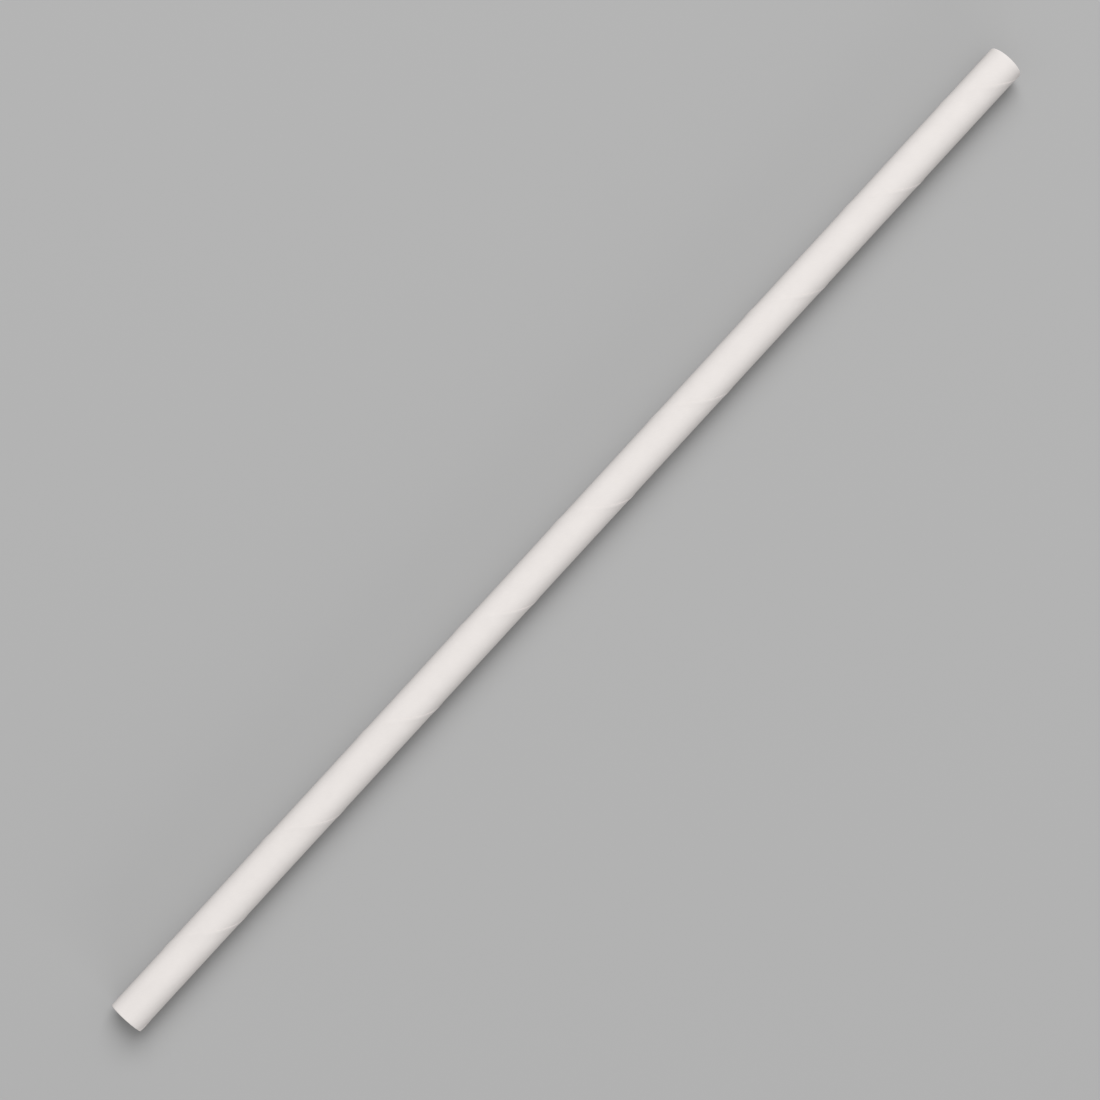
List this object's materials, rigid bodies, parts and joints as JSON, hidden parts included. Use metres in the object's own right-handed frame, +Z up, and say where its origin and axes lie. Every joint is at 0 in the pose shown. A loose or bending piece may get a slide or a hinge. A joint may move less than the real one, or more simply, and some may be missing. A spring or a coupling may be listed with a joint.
{
  "type": "paper drinking straw",
  "caption": "Straight open-ended drinking straw of spiral-wound white paper, with a low helical lap seam, lying on its side.",
  "frame": {"origin": "on the surface that the straw lies on, under the middle of its length", "axes": "+X along the straw's axis, +Z up from the surface; the seam is a right-handed helix about +X"},
  "size_m": [0.2, 0.0062, 0.0062],
  "materials": {
    "paper": "matte"
  },
  "bodies": {
    "root": {"straw": "paper"}
  },
  "joints": []
}
